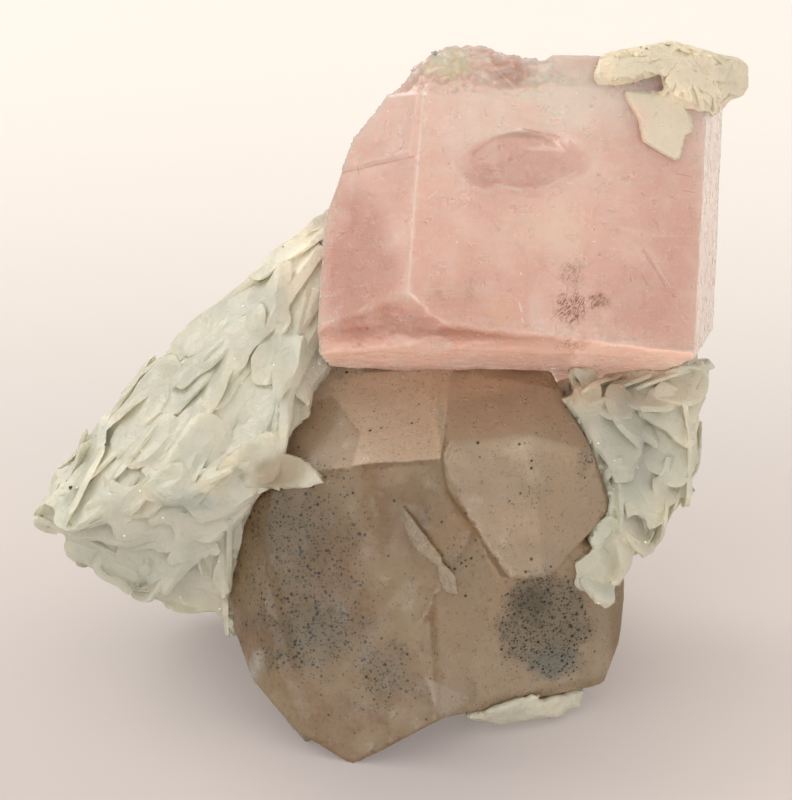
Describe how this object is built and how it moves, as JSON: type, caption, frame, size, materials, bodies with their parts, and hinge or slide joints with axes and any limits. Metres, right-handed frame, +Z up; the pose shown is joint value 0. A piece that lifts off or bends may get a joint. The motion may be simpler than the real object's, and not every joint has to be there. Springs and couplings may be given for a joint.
{
  "type": "morganite crystal specimen",
  "caption": "Blocky pink morganite crystal lying back on smoky quartz, with fans of thin albite blades on both sides; a loose hand specimen that stands on its base.",
  "frame": {"origin": "middle of the bounding box in plan, on the plane that the specimen stands on", "axes": "+X to the viewer's right across the morganite's broad front face, +Y away from the viewer, +Z up"},
  "size_m": [0.0728, 0.0536, 0.0661],
  "materials": {
    "morganite": "clear pale pink, vitreous, finely striated",
    "smoky_quartz": "cloudy brown, vitreous, with dark specks inside",
    "albite": "greenish white, waxy"
  },
  "bodies": {
    "root": {"morganite_crystal": "morganite", "smoky_quartz": "smoky_quartz", "albite_rosette_left": "albite", "albite_rosette_right": "albite", "albite_cap": "albite", "albite_foot": "albite", "albite_middle_blades": "albite"}
  },
  "joints": []
}
